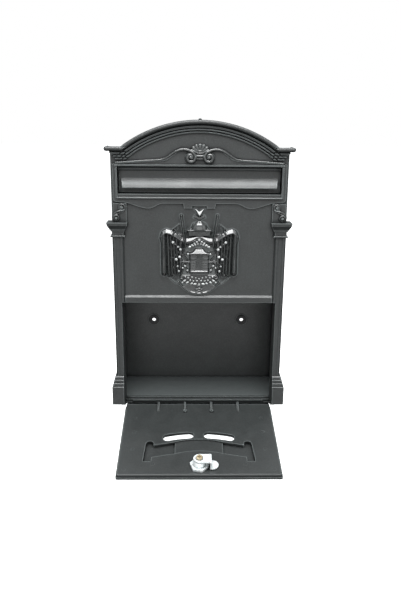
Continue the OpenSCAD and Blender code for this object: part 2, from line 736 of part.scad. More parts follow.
module cam_screw() color(brass) on_lock() translate([0, cam_back, 0]) difference() {
    union() {
        bar_y(4, 0.6, 2.8);
        bar_y(2, -8, 1);
    }
    block(-2.6, 2.6, 1.8, 4, -0.5, 0.5);
    block(-0.5, 0.5, 1.8, 4, -2.6, 2.6);
}

front_frame();
rear_shell();
wall_grommets();
shell_screws();
crown_screw();
crest_badge();
crest_push_nuts();
flap_rod();
rod_clips();
left_hinge_pin();
right_hinge_pin();
letter_flap();
door_panel();
lock_housing();
lock_nut();
lock_plug();
stop_washer();
lock_cam();
cam_washer();
cam_screw();
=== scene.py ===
"""Looks for the wall letterbox: ornament, paint, metal, floor, light and camera round its CAD frame."""

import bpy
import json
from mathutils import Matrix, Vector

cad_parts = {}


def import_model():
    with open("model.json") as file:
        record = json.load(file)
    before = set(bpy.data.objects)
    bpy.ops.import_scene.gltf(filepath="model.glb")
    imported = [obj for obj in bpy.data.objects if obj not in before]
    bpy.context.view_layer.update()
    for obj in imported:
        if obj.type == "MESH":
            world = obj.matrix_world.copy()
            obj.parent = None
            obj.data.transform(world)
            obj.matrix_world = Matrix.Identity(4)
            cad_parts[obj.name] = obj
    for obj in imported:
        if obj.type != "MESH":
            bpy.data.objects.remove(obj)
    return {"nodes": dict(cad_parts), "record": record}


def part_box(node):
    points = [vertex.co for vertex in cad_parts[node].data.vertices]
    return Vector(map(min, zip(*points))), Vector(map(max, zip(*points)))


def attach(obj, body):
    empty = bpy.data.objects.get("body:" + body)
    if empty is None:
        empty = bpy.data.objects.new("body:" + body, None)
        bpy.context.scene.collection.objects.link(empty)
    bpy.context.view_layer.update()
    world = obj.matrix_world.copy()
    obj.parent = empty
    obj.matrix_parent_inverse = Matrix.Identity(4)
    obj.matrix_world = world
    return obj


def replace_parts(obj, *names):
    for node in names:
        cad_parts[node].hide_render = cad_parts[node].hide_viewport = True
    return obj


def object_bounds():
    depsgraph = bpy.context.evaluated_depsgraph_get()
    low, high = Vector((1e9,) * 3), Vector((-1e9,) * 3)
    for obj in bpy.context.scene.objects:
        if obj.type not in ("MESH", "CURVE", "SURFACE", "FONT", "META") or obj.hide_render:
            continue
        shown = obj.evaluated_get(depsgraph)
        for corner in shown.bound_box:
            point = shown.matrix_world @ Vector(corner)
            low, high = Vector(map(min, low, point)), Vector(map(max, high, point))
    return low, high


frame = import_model()
cad_lo, cad_hi = [list(c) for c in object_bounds()]

import json
import math

import bmesh
import bpy
import numpy as np
from mathutils import Matrix, Vector

NODES = frame["nodes"]
scene = bpy.context.scene

MM = 0.001
BASE_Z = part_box("rear_shell")[0].z  # the housing's foot
FIELD_Y = -92 * MM                  # plane of the front field


def at(x, y, z):
    """Point from millimetres: across, depth behind the front field, height above the base."""
    return Vector((x * MM, FIELD_Y + y * MM, BASE_Z + z * MM))


# ---------------------------------------------------------------- materials


class Nodes:
    """Small helper that builds a node tree."""

    def __init__(self, name):
        self.material = bpy.data.materials.new(name)
        self.material.use_nodes = True
        self.tree = self.material.node_tree
        self.tree.nodes.clear()
        self.out = self.add("ShaderNodeOutputMaterial")
        self.shader = self.add("ShaderNodeBsdfPrincipled")
        self.link(self.shader.outputs[0], self.out.inputs[0])

    def add(self, kind, **settings):
        n = self.tree.nodes.new(kind)
        for k, v in settings.items():
            setattr(n, k, v)
        return n

    def link(self, a, b):
        self.tree.links.new(a, b)

    def coords(self):
        return self.add("ShaderNodeTexCoord").outputs["Object"]

    def noise(self, scale, detail, rough=0.55):
        n = self.add("ShaderNodeTexNoise")
        n.inputs["Scale"].default_value = scale
        n.inputs["Detail"].default_value = detail
        n.inputs["Roughness"].default_value = rough
        self.link(self.coords(), n.inputs["Vector"])
        return n.outputs["Fac"]

    def ramp(self, fac, stops):
        """Colour ramp; a stop is (position, colour), and a colour of one number is a grey."""
        r = self.add("ShaderNodeValToRGB")
        els = r.color_ramp.elements
        while len(els) < len(stops):
            els.new(0.5)
        for e, (p, c) in zip(els, stops):
            e.position = p
            e.color = (*c, 1) if len(c) == 3 else (c[0], c[0], c[0], 1)
        self.link(fac, r.inputs[0])
        return r.outputs[0]

    def mix(self, fac, a, b):
        """From socket a to b, which is a socket or a plain colour."""
        m = self.add("ShaderNodeMix", data_type="RGBA")
        self.link(fac, m.inputs["Factor"])
        self.link(a, m.inputs[6])
        if isinstance(b, tuple):
            m.inputs[7].default_value = (*b, 1)
        else:
            self.link(b, m.inputs[7])
        return m.outputs[2]

    def math(self, op, a, b, clamp=False):
        m = self.add("ShaderNodeMath", operation=op, use_clamp=clamp)
        for value, socket in ((a, m.inputs[0]), (b, m.inputs[1])):
            if isinstance(value, (int, float)):
                socket.default_value = value
            else:
                self.link(value, socket)
        return m.outputs[0]

    def cavity(self, reach):
        """1 in the open, towards 0 in quirks and corners."""
        ao = self.add("ShaderNodeAmbientOcclusion", samples=6)
        ao.inputs["Distance"].default_value = reach
        return ao.outputs["AO"]

    def arris(self, reach):
        """0 on flats, towards 1 on convex edges."""
        ao = self.add("ShaderNodeAmbientOcclusion", samples=6, inside=True)
        ao.inputs["Distance"].default_value = reach
        return self.math("SUBTRACT", 1.0, ao.outputs["AO"], clamp=True)

    def near(self, point, scale):
        """Distance from an axis along X through a point of the object's frame, times scale."""
        flat = self.add("ShaderNodeVectorMath", operation="MULTIPLY")
        flat.inputs[1].default_value = (0, 1, 1)
        self.link(self.coords(), flat.inputs[0])
        gap = self.add("ShaderNodeVectorMath", operation="DISTANCE")
        gap.inputs[1].default_value = (0, point.y, point.z)
        self.link(flat.outputs[0], gap.inputs[0])
        return self.math("MULTIPLY", gap.outputs["Value"], scale)

    def facing_up(self):
        """1 on a face that looks straight up, 0 on an upright one."""
        face, split = self.add("ShaderNodeNewGeometry"), self.add("ShaderNodeSeparateXYZ")
        self.link(face.outputs["Normal"], split.inputs[0])
        return split.outputs["Z"]

    def bump(self, height, strength, distance, normal):
        b = self.add("ShaderNodeBump")
        b.inputs["Strength"].default_value = strength
        b.inputs["Distance"].default_value = distance
        self.link(height, b.inputs["Height"])
        self.link(normal, b.inputs["Normal"])
        return b.outputs[0]

    def rounded(self, radius):
        """Normal that rolls over the edges."""
        bevel = self.add("ShaderNodeBevel", samples=4)
        bevel.inputs["Radius"].default_value = radius
        return bevel.outputs[0]


def scaled(colour, factor):
    """The colour made lighter or darker, up to white."""
    return tuple(min(1.0, factor * c) for c in colour)


def paint(name, dark, light, rough, grain, edge, coat=0.0, reach=9 * MM, hinge=None, painted_top_light=0.0):
    """Textured dark paint on a casting: pebbled grain, arrises lightened with painted highlight and
    wear, and quirks dulled and darkened with painted shade.

    rough is the mean roughness, grain the strength of the pebbles, edge how strong the painted
    highlight and wear on the arrises are, coat the clear coat and reach the size of the quirks that get
    painted shade. hinge is a point on an axis along X, in the object's own frame, round which the paint
    is darkened as painted shade, and the last argument is how much painted top light lies on faces that
    look up.
    """
    m = Nodes(name)
    cloud = m.ramp(m.noise(28, 5, 0.6), [(0.3, dark), (0.7, light)])
    specks = m.ramp(m.noise(520, 3, 0.7), [(0.45, (0.0,)), (0.75, (0.45,))])
    base = m.mix(specks, cloud, scaled(light, 2.2))
    # painted highlight: convex arrises are lightened towards a pale grey, for highlights and for rubbed
    # paint
    edge_highlight_and_wear = m.ramp(m.arris(0.7 * MM if coat else 1.7 * MM), [(0.12, (0.0,)), (0.5, (edge,))])
    base = m.mix(edge_highlight_and_wear, base, scaled(light, 6))
    # painted shade: quirks and corners are darkened by ambient occlusion, and made rougher and less
    # shiny
    crease_shade = m.ramp(m.cavity(reach), [(0.3, (0.9,)), (0.85, (0.0,))])
    base = m.mix(crease_shade, base, scaled(dark, 0.2))
    gloss = m.ramp(m.noise(60, 4, 0.6), [(0.3, (rough - 0.05,)), (0.7, (rough + 0.06,))])
    shine = m.ramp(crease_shade, [(0.0, (0.5,)), (0.9, (0.04,))])
    if not coat:
        gloss = m.mix(crease_shade, gloss, (0.75, 0.75, 0.75))
    if painted_top_light:
        # painted light: faces that look up are lightened as if lit from above
        top_light_mask = m.ramp(m.facing_up(), [(0.8, (0.0,)), (0.95, (painted_top_light,))])
        base = m.mix(top_light_mask, base, scaled(light, 3.4))
    if hinge is not None:
        # painted shade round the hinge axis, full to 7 mm from it and gone at 8 mm
        hinge_shade = m.ramp(m.near(hinge, 100), [(0.7, (0.88,)), (0.82, (0.0,))])
        base = m.mix(hinge_shade, base, scaled(dark, 0.15))
        shine = m.mix(hinge_shade, shine, (0.02, 0.02, 0.02))
    m.link(base, m.shader.inputs["Base Color"])
    m.link(gloss, m.shader.inputs["Roughness"])
    m.link(shine, m.shader.inputs["Specular IOR Level"])
    pebble = m.math("ADD", m.noise(330, 2, 0.5), m.noise(1500, 2, 0.6))
    m.link(m.bump(pebble, grain, 0.3 * MM, m.rounded(0.5 * MM)), m.shader.inputs["Normal"])
    if coat:
        m.shader.inputs["Coat Weight"].default_value = coat
        m.shader.inputs["Coat Roughness"].default_value = 0.2
    return m.material


def metal(name, a, b, rough, edge_tint, metallic=1.0):
    """Plated metal with cloudy colour, brushed grain, arrises lightened with painted highlight and
    wear, and painted shade in its hollows.
    """
    m = Nodes(name)
    tint = m.ramp(m.noise(220, 4, 0.6), [(0.3, a), (0.7, b)])
    # painted highlight on the arrises, also standing for wear
    edge_highlight_and_wear = m.ramp(m.arris(0.5 * MM), [(0.15, (0.0,)), (0.5, (0.7,))])
    # painted shade: hollows darkened by ambient occlusion
    crease_shade = m.ramp(m.cavity(4 * MM), [(0.25, (0.9,)), (0.8, (0.0,))])
    m.link(m.mix(crease_shade, m.mix(edge_highlight_and_wear, tint, edge_tint), scaled(a, 0.1)), m.shader.inputs["Base Color"])
    m.shader.inputs["Metallic"].default_value = metallic
    m.link(m.ramp(m.noise(500, 3, 0.6), [(0.3, (rough - 0.06,)), (0.7, (rough + 0.08,))]),
           m.shader.inputs["Roughness"])
    m.link(m.bump(m.noise(1500, 2, 0.5), 0.15, 0.1 * MM, m.rounded(0.3 * MM)),
           m.shader.inputs["Normal"])
    return m.material


def rubber():
    """Dull black rubber with a fine grain."""
    m = Nodes("black_rubber")
    black = [(0.3, (0.004, 0.004, 0.0045)), (0.7, (0.011, 0.011, 0.012))]
    m.link(m.ramp(m.noise(300, 4, 0.6), black), m.shader.inputs["Base Color"])
    m.link(m.ramp(m.noise(700, 3, 0.6), [(0.3, (0.5,)), (0.7, (0.7,))]), m.shader.inputs["Roughness"])
    m.link(m.bump(m.noise(1200, 2, 0.5), 0.3, 0.2 * MM, m.rounded(0.4 * MM)),
           m.shader.inputs["Normal"])
    return m.material


DARK, LIGHT = (0.014, 0.0158, 0.0158), (0.020, 0.0225, 0.0225)
MATT = {"dark": DARK, "light": LIGHT, "rough": 0.4, "grain": 0.3, "edge": 0.8}
PAINT = paint("anthracite_paint", **MATT)
GLOSS = paint("gloss_paint", DARK, LIGHT, rough=0.2, grain=0.05, edge=0.5, coat=0.9, reach=4 * MM)
WORN = paint("worn_paint", DARK, LIGHT, rough=0.26, grain=0.12, edge=0.7, coat=0.7, reach=5 * MM)
# painted highlight: the beads' paint is far lighter than the rest, standing for their glints
BEAD_HIGHLIGHT = paint("painted_highlight_beads", (0.20, 0.21, 0.21), (0.34, 0.35, 0.35), rough=0.3, grain=0.05,
               edge=0.3, coat=0.8, reach=2 * MM)
ZINC = metal("zinc_plate", (0.74, 0.82, 0.84), (0.93, 0.95, 0.94), 0.26, (0.98, 1.0, 1.0), 0.5)
STEEL = metal("plain_steel", (0.36, 0.36, 0.36), (0.48, 0.48, 0.47), 0.36, (0.9, 0.9, 0.9))
BLACK_STEEL = metal("blackened_steel", (0.03, 0.03, 0.032), (0.05, 0.05, 0.05), 0.5,
                    (0.14, 0.14, 0.14))
BRASS = metal("dull_brass", (0.46, 0.36, 0.22), (0.62, 0.52, 0.34), 0.34, (0.8, 0.7, 0.5), 0.7)
BY_SLOT = {"anthracite_paint": PAINT, "gloss_paint": GLOSS, "zinc_plate": ZINC, "steel": STEEL,
           "brass": BRASS, "rubber": rubber()}


def paint_nodes():
    """Gives each CAD node the material of its slot, or one of its own where it differs."""
    slot_of = {s["node"]: s["material_slot"] for s in frame["record"]["subparts"]}
    looks = {name: BY_SLOT[slot_of[name]] for name in NODES}
    # the crown screw is painted over with the roof, the shell's faces that look up, roof and floor, get
    # painted top light, the door gets painted shade round its hinge, and the small steel parts are
    # blackened
    joints = frame["record"]["behaviour"]["joints"]
    hinge = next(j for j in joints if j["name"] == "door_hinge")["pos_m"]
    in_door = NODES["door_panel"].matrix_world.inverted() @ Vector(hinge)
    looks["crown_screw"] = PAINT
    looks["rear_shell"] = paint("top_lit_paint", painted_top_light=0.7, **MATT)
    looks["door_panel"] = paint("door_paint", hinge=in_door, **MATT)
    for name in ("left_hinge_pin", "right_hinge_pin", "flap_rod", "rod_clips"):
        looks[name] = BLACK_STEEL
    for name, node in NODES.items():
        node.data.materials.clear()
        node.data.materials.append(looks[name])


paint_nodes()

# ---------------------------------------------------------------- ornament


def casting(name, material, bm):
    """Turns a bmesh in the row frame into a smooth piece that rides on the housing."""
    bmesh.ops.recalc_face_normals(bm, faces=bm.faces)
    mesh = bpy.data.meshes.new(name)
    bm.to_mesh(mesh)
    bm.free()
    for p in mesh.polygons:
        p.use_smooth = True
    mesh.materials.append(material)
    o = bpy.data.objects.new(name, mesh)
    scene.collection.objects.link(o)
    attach(o, "housing")
    return o


def sweep(bm, path, radii, sides, squash=1.0):
    """Tube along points (x, depth, z) in millimetres, with domed ends.
    squash flattens its section along the depth."""
    pts = [np.array(p, float) for p in path]
    n = len(pts)
    tangents = [pts[min(i + 1, n - 1)] - pts[max(i - 1, 0)] for i in range(n)]
    tangents = [t / np.linalg.norm(t) for t in tangents]
    rings = []

    def ring(centre, tangent, radius):
        side = np.cross(tangent, (0, 1, 0))
        side /= np.linalg.norm(side)
        out = np.cross(side, tangent)
        vs = []
        for k in range(sides):
            a = 2 * math.pi * k / sides
            p = centre + radius * (math.cos(a) * side + squash * math.sin(a) * out)
            vs.append(bm.verts.new(at(*p)))
        return vs

    for end, sign in ((0, -1), (n - 1, 1)):
        caps = []
        for k in (75, 50, 25):
            a = math.radians(k)
            caps.append(ring(pts[end] + sign * tangents[end] * radii[end] * math.sin(a),
                             tangents[end], radii[end] * math.cos(a)))
        if sign < 0:
            rings += caps
            rings += [ring(pts[i], tangents[i], radii[i]) for i in range(n)]
        else:
            rings += reversed(caps)
    for a, b in zip(rings, rings[1:]):
        for k in range(sides):
            bm.faces.new((a[k], a[(k + 1) % sides], b[(k + 1) % sides], b[k]))
    bm.faces.new(rings[0])
    bm.faces.new(rings[-1])


def bead(bm, x, y, z, r, flat=1.0, long=1.0, turn=0.0):
    """Small dome at a point in millimetres, longer along a direction turned in the front view."""
    m = (Matrix.Translation(at(x, y, z)) @ Matrix.Rotation(math.radians(-turn), 4, "Y")
         @ Matrix.Diagonal((r * long * MM, r * flat * MM, r * MM, 1)))
    bmesh.ops.create_icosphere(bm, subdivisions=2, radius=1.0, matrix=m)


def smooth_path(points, steps):
    """Catmull-Rom curve through points."""
    p = [np.array(q, float) for q in points]
    p = [2 * p[0] - p[1]] + p + [2 * p[-1] - p[-2]]
    out = []
    for i in range(1, len(p) - 2):
        for k in range(steps):
            t = k / steps
            out.append(0.5 * (2 * p[i] + (p[i + 1] - p[i - 1]) * t
                              + (2 * p[i - 1] - 5 * p[i] + 4 * p[i + 1] - p[i + 2]) * t * t
                              + (3 * p[i] - p[i - 1] - 3 * p[i + 1] + p[i + 2]) * t ** 3))
    out.append(p[-2])
    return out


def spiral(cx, cz, r0, r1, a0, a1, y0, y1, n):
    """n + 1 points (x, depth, z) of a spiral about a centre. Its radius runs from r0 to r1, its
    angle from a0 to a1 degrees and its depth from y0 to y1."""
    out = []
    for i in range(n + 1):
        t = i / n
        a = math.radians(a0 + (a1 - a0) * t)
        r = r0 + (r1 - r0) * t
        out.append((cx + r * math.cos(a), y0 + (y1 - y0) * t, cz + r * math.sin(a)))
    return out


def mirrored(path):
    """The path on the other side of the middle."""
    return [(-p[0], p[1], p[2]) for p in path]


def spread(values, n):
    """n values that run smoothly through the given ones."""
    x = np.linspace(0, 1, len(values))
    return list(np.interp(np.linspace(0, 1, n), x, values))


def pediment():
    """Scrolled moulding over the slot: a rib that climbs to a hill and curls into a volute."""
    bm = bmesh.new()
    rise = smooth_path([(113.6, -2.4, 353.9), (96, -2.4, 355.1), (76, -2.5, 356.5), (56, -2.6, 357.6),
                        (47.4, -2.8, 359.6), (40.4, -3.0, 363.9), (33.2, -3.2, 368.6),
                        (25, -3.4, 371.4), (16.6, -3.6, 371), (9.4, -3.8, 367.8)], 6)
    eye = (12.7, 361)
    curl = spiral(*eye, 7.0, 2.2, 128, 560, -3.9, -4.9, 44)
    path = rise + curl[2:]
    radii = spread([1.2, 1.2, 1.3, 1.5, 1.8, 2.1, 2.3, 2.5, 2.6, 2.4, 1.9], len(path))
    for side in (path, mirrored(path)):
        sweep(bm, side, radii, 12)
    for s in (1, -1):
        bead(bm, s * eye[0], -5.0, eye[1], 2.6, 0.9)
    casting("pediment_scrolls", WORN, bm)


def palmette():
    """Low gadrooned shell over the clasp, and the clasp between the volutes."""
    foot_z, wide, tall = 366.4, 1.08, 0.92
    bm = bmesh.new()
    for k in range(-3, 4):
        a = math.radians(90 + 24 * k)
        path = [(r * math.cos(a) * wide, -2.5 - 0.5 * math.sin(math.pi * r / 14),
                 foot_z + r * math.sin(a) * tall)
                for r in np.linspace(2.5, 11.2, 6)]
        sweep(bm, path, spread([0.9, 1.9, 2.5], 6), 10, 0.42)
    bead(bm, 0, -3.4, 369.4, 1.5, 1.1, 2.4)
    across = np.linspace(-4.2, 4.2, 9)
    for z, r, y in ((366.8, 1.1, -3.7), (362.9, 2.2, -4.4), (359.4, 1.2, -4.2)):
        bow = [(x, y - 0.8 * math.cos(x / 4.4 * math.pi / 2), z) for x in across]
        sweep(bm, bow, [r] * len(bow), 10, 0.9)
    casting("palmette", WORN, bm)


def consoles():
    """S-scrolls above the capitals."""
    bm = bmesh.new()
    eye = (106.8, 294)
    curl = spiral(*eye, 1.4, 4.0, 460, 270, -5.2, -3.9, 16)
    ring = spiral(*eye, 4.1, 4.1, 250, -70, -3.6, -3.6, 34)
    band = smooth_path([(103.2, -3.7, 290.6), (107.6, -3.8, 289.2), (112.4, -3.8, 288.2),
                        (116.4, -3.7, 286.2), (119.2, -3.4, 282.8), (119.9, -3.2, 279.6)], 6)
    inner = smooth_path([(108.4, -3.4, 287), (112.2, -3.6, 285.6), (115.8, -3.6, 284.2),
                         (118, -3.4, 281.4)], 5)
    low = spiral(114.6, 279.4, 3.7, 3.5, 215, -40, -3.8, -3.8, 24)
    for flip in (False, True):
        for path, radii, sides in ((curl, [0.9, 1.1], 8), (ring, [1.15, 1.15], 10),
                                   (band, [1.0, 1.5, 1.5, 1.0], 10), (inner, [0.8, 1.1, 0.8], 10),
                                   (low, [0.9, 1.5, 0.9], 10)):
            sweep(bm, mirrored(path) if flip else path, spread(radii, len(path)), sides)
        s = -1 if flip else 1
        bead(bm, s * eye[0], -3.6, eye[1], 2.2, 0.9)
        bead(bm, s * 114.6, -3.6, 279.0, 2.0, 0.9)
    casting("console_scrolls", WORN, bm)


# ---- crest: a relief built from simple ridges and domes over a fine grid


class Relief:
    """Height map in millimetres over the front field: H over X across and Z above the base.
    A is the distance from the middle, so a shape drawn over A comes out on both sides."""

    EMPTY = -1.2  # height where nothing has been drawn
    CUT = -0.9    # the shell ends below this
    SKIRT = 0.8   # how far the edge of the relief sinks into the field
    BACK = 1.4    # depth of the shell's flat back

    def __init__(self, half_width, z0, z1, step):
        self.xs = np.arange(-half_width, half_width + step / 2, step)
        self.zs = np.arange(z0, z1 + step / 2, step)
        self.X, self.Z = np.meshgrid(self.xs, self.zs, indexing="ij")
        self.A = np.abs(self.X)
        self.H = np.full(self.X.shape, self.EMPTY)

    def along(self, points, mirror=True):
        """Distance to a polyline and the share of its length at the nearest point."""
        X = self.A if mirror else self.X
        p = [np.array(q, float) for q in points]
        lengths = [np.linalg.norm(b - a) for a, b in zip(p, p[1:])]
        total, run = sum(lengths), 0.0
        best, share = np.full(X.shape, 1e9), np.zeros(X.shape)
        for a, b, length in zip(p, p[1:], lengths):
            d = b - a
            t = np.clip(((X - a[0]) * d[0] + (self.Z - a[1]) * d[1]) / (length * length), 0, 1)
            r = np.hypot(X - a[0] - t * d[0], self.Z - a[1] - t * d[1])
            nearer = r < best
            best = np.where(nearer, r, best)
            share = np.where(nearer, (run + t * length) / total, share)
            run += length
        return best, share

    def raise_to(self, h, where):
        """Fills up to height h where that is higher than what is there."""
        self.H = np.where(where, np.maximum(self.H, h), self.H)

    def ridge(self, points, r, h, base=0.0, mirror=True, curve=True):
        """Half-round ridge; r and h may run along it."""
        pts = [tuple(q) for q in smooth_path(points, 6)] if curve and len(points) > 2 else points
        d, t = self.along(pts, mirror)
        x = np.linspace(0, 1, len(np.atleast_1d(r)))
        rr = np.interp(t, x, np.atleast_1d(r)) if x.size > 1 else r
        x = np.linspace(0, 1, len(np.atleast_1d(h)))
        hh = np.interp(t, x, np.atleast_1d(h)) if x.size > 1 else h
        self.raise_to(base + hh * np.sqrt(np.clip(1 - (d / rr) ** 2, 0, 1)), d < rr)

    def dome(self, x, z, rx, rz, h, base=0.0, upper=False):
        """Dome on an ellipse, or only its upper half."""
        q = ((self.A - x) / rx) ** 2 + ((self.Z - z) / rz) ** 2
        ok = (q < 1) & (self.Z >= z) if upper else q < 1
        self.raise_to(base + h * np.sqrt(np.clip(1 - q, 0, 1)), ok)

    def inside(self, points):
        """Points within a polygon given for the right half."""
        X, Z = self.A, self.Z
        hit = np.zeros(X.shape, bool)
        for (x0, z0), (x1, z1) in zip(points, points[1:] + points[:1]):
            if z0 != z1:
                cross = ((z0 > Z) != (z1 > Z)) & (X < (x1 - x0) * (Z - z0) / (z1 - z0) + x0)
                hit ^= cross
        return hit

    def soften(self):
        """One pass of blur."""
        p = np.pad(self.H, 1, mode="edge")
        beside = p[:-2, 1:-1] + p[2:, 1:-1] + p[1:-1, :-2] + p[1:-1, 2:]
        self.H = 0.4 * self.H + 0.15 * beside

    def build(self, bm):
        """Closed shell: the relief in front, a flat back sunk in the field behind."""
        keep = self.H > self.CUT
        pad = np.pad(keep, 1)
        keep = pad[1:-1, 1:-1] | pad[:-2, 1:-1] | pad[2:, 1:-1] | pad[1:-1, :-2] | pad[1:-1, 2:]
        front, rear = {}, {}
        nx, nz = self.X.shape
        quads = [(i, j) for i in range(nx - 1) for j in range(nz - 1)
                 if keep[i, j] and keep[i + 1, j] and keep[i, j + 1] and keep[i + 1, j + 1]]

        def vertex(store, i, j, depth):
            if (i, j) not in store:
                store[i, j] = bm.verts.new(at(self.xs[i], depth, self.zs[j]))
            return store[i, j]

        border = {}
        for i, j in quads:
            loop = [(i, j), (i + 1, j), (i + 1, j + 1), (i, j + 1)]
            bm.faces.new([vertex(front, a, b, -max(self.H[a, b], -self.SKIRT)) for a, b in loop])
            bm.faces.new([vertex(rear, a, b, self.BACK) for a, b in reversed(loop)])
            for k in range(4):
                e = (loop[k], loop[(k + 1) % 4])
                if (e[1], e[0]) in border:
                    del border[e[1], e[0]]
                else:
                    border[e] = True
        for a, b in border:
            bm.faces.new((front[b], front[a], rear[a], rear[b]))


def curtains(r):
    """Vertical folds that fan out from the gathered top, with hollow ends."""
    Z, A = r.Z, r.A
    foot_z, top_z = 197, 257
    # edges of the folds from the outside in, at the top and at the foot
    top = [54.0, 46.5, 42.0, 38.5, 34.5, 30.0, 22.0]
    low = [54.3, 44.8, 40.2, 36.0, 32.0, 28.4, 25.5]
    feet = [197.5, 194.5, 196.5, 195.0, 198.0, 203.0]
    rise = [5.0, 3.2, 3.8, 2.8, 3.4, 2.6]
    t = np.clip((Z - foot_z) / (top_z - foot_z), 0, 1.05)
    for k in range(len(feet)):
        outer = low[k] + (top[k] - low[k]) * t ** 1.3
        inner = low[k + 1] + (top[k + 1] - low[k + 1]) * t ** 1.3
        c, w = (outer + inner) / 2, (outer - inner) / 2 * 0.9
        u = (A - c) / w
        foot = feet[k] + 2.2 * u * u
        ok = (np.abs(u) < 1) & (Z > foot) & (Z < top_z + 1)
        flare = 1 + 0.25 * np.clip((222 - Z) / 24, 0, 1)
        r.raise_to(0.6 + rise[k] * flare * np.sqrt(np.clip(1 - u * u, 0, 1)), ok)
    turns = np.linspace(0, 2 * math.pi, 13)
    for x, z, size in ((49.4, 199.5, 2.6), (37.8, 197.6, 1.5), (42.6, 196.6, 1.4)):
        hole = ((A - x) / size) ** 2 + ((Z - z) / (size * 0.9)) ** 2 < 1
        r.H = np.where(hole, 0.4, r.H)
        rim = [(x + size * 1.1 * math.cos(a), z + size * math.sin(a)) for a in turns]
        r.ridge(rim, 0.75, 3.4, curve=False)


def gathered_roll(r):
    """Roll of cloth over the curtains, with the lip under it, its ties and its cord."""
    Z, A = r.Z, r.A
    hem = [(0.6, 250.6), (8, 247.2), (15, 244.8), (20.4, 244.2), (27, 247.2), (34, 252.4),
           (41, 256.6), (47, 257.6), (51.6, 255.6), (53.4, 250.4), (53.2, 246)]
    r.ridge(hem, 1.25, 4.6)
    # distance from the middle, height of the roll's middle and half its width
    roll = [(0, 253.2, 1.4), (4, 252.6, 1.8), (8, 250.8, 2.6), (14, 248.8, 3.2), (20, 248.2, 3.4),
            (26, 250.8, 3.5), (33, 255.8, 3.7), (40, 259.6, 3.7), (46, 261.2, 3.5), (51, 259.4, 3.2),
            (54, 255.4, 2.8), (56, 249, 1.2)]
    along, middles, halves = zip(*roll)
    middle, half = np.interp(A, along, middles), np.interp(A, along, halves)
    across = (middle + half - Z) / (2 * half)
    swell = across * np.sqrt(np.clip((1 - across) / 0.14, 0, 1))
    r.raise_to(2.2 + 1.25 * half * swell, (across > 0) & (across < 1) & (A < 55.4))
    for tie in ([(34.6, 261.6), (38.6, 254.6)], [(21.6, 252.2), (22.6, 244.8)]):
        r.ridge(tie, 0.9, 8.2)
    r.ridge([(38.6, 262), (28.2, 270.4)], 0.7, 2.2)
    lozenge = [(33.4, 262.2), (30.8, 265), (33.2, 266.6), (35.4, 264.2), (33.4, 262.2)]
    r.ridge(lozenge, 0.6, 1.8, curve=False)


def staffs(r):
    """Two staffs that cross the roll, each with a round end."""
    r.ridge([(24.9, 282.2), (21.9, 260.5), (19.9, 246), (19.4, 240)], 1.8, [5.2, 8.6, 8.6, 6.4],
            curve=False)
    r.dome(25.0, 283, 2.2, 2.0, 6.0)


def cap(r):
    """Plain cap on a brim and a band."""
    brim_z = 262
    band = (r.A < 16 - 0.1 * (brim_z - r.Z)) & (r.Z > 254.4) & (r.Z < brim_z)
    r.raise_to(4.4, band)
    r.raise_to(2.0, r.inside([(0, brim_z), (16.4, brim_z), (12, 266), (9, 272), (0, 276)]))
    r.dome(0, 262.6, 11.2, 11.4, 6.4, 1.0, upper=True)
    r.ridge([(-16.2, 262.2), (0, 262.8), (16.2, 262.2)], 1.5, 6.2, mirror=False)


def chevron(r):
    """Chevron whose face leans back so that it looks up, on a small base."""
    r.raise_to(0.6 + (293 - r.Z) * 0.6, r.inside([(0, 281.2), (7.9, 293), (4.6, 292.2), (0, 288.8)]))
    r.raise_to(1.4, r.inside([(0, 276), (8.6, 280), (6.6, 284.5), (0, 280.6)]))


def side_cords(r):
    """Cords and small scrolls between the tablet and the curtains."""
    r.ridge([(36.8, 245.6), (31.6, 240.6), (26.4, 235.4), (24.8, 230), (27.4, 225.2), (24.6, 220),
             (26.4, 213), (23.6, 206), (25.6, 199)], 0.95, 3.2, 0.6)
    r.ridge([(15.6, 241.6), (20.4, 238.2), (22.2, 232), (18.6, 228.4), (17.2, 232.4)], 0.9, 3.0, 0.6)
    r.ridge([(22.6, 226), (18.2, 222.4), (17.0, 216.8), (21.4, 212.6), (17.6, 208), (16.6, 202.6)],
            0.85, 2.8, 0.6)
    r.ridge([(13.0, 217.6), (23.4, 217.9)], 1.05, 4.6)


def tablet(r):
    """Plain tablet with a moulded head, fluted sides and a foot line."""
    face = 4.9
    flute_x0, flute_x1 = 6.0, 11.2
    r.raise_to(face, (r.A < 13.1) & (r.Z > 200.6) & (r.Z < 230))
    for z in np.arange(206.6, 229, 2.45):
        r.ridge([(flute_x0, z), (flute_x1, z)], 0.72, 0.75, face, curve=False)
    r.ridge([(flute_x0, 222.2), (flute_x1, 222.2)], 1.0, 1.3, face, curve=False)
    r.ridge([(-11.6, 204.2), (11.6, 204.2)], 1.0, 1.5, face, mirror=False, curve=False)
    head = r.inside([(0, 229), (14.4, 229), (14.2, 231), (9.4, 232), (6.6, 234.4), (4.6, 237.4),
                     (2.2, 236), (0, 236.6)])
    r.raise_to(2.2 + (239 - r.Z) * 0.62, head)


